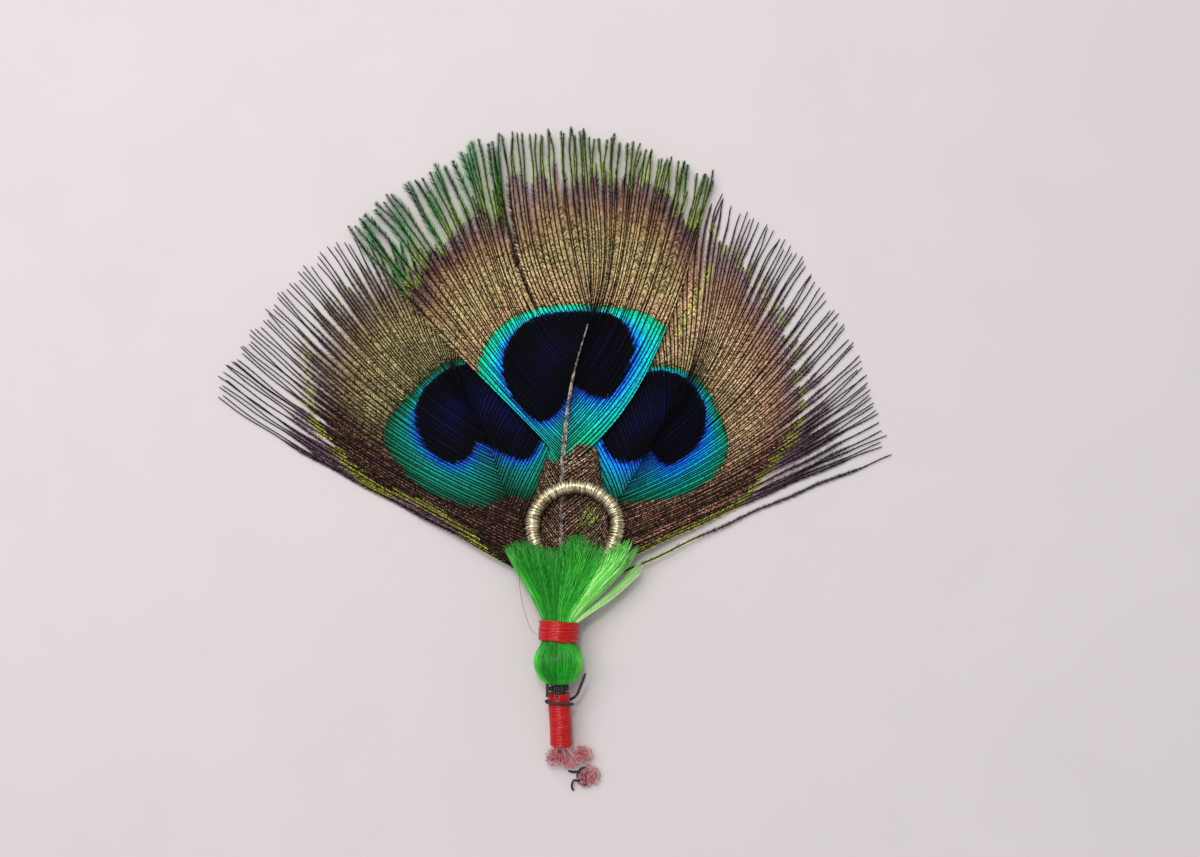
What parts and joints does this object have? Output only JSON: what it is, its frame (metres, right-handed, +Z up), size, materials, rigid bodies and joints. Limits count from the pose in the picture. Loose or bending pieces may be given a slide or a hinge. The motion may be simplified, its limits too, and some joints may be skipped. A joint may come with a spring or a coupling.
{
  "type": "peacock feather ornament",
  "caption": "Fan of trimmed peacock eye feathers held in a green silk tuft, with a gold cord loop on its front and a red thread-wound stem. It lies flat.",
  "frame": {"origin": "on the resting plane, under the middle of the object's box", "axes": "+Z up from the surface it lies on, towards the finished front; +Y towards the feather tips; +X to the viewer's right"},
  "size_m": [0.1, 0.098, 0.0069],
  "materials": {
    "feather": "iridescent barbs, satin",
    "green_silk": "loose glossy floss",
    "red_silk": "glossy wound thread",
    "black_thread": "dull thread",
    "gold_cord": "bright coiled wire"
  },
  "bodies": {
    "root": {"centre_feather": "feather", "left_feather": "feather", "right_feather": "feather", "silk_tuft": "green_silk", "gold_loop": "gold_cord", "neck_band": "red_silk", "bulb_tie": "black_thread", "stem_wrap": "red_silk", "stem_tie": "black_thread", "thread_ends": "red_silk", "end_knot": "black_thread"}
  },
  "joints": []
}
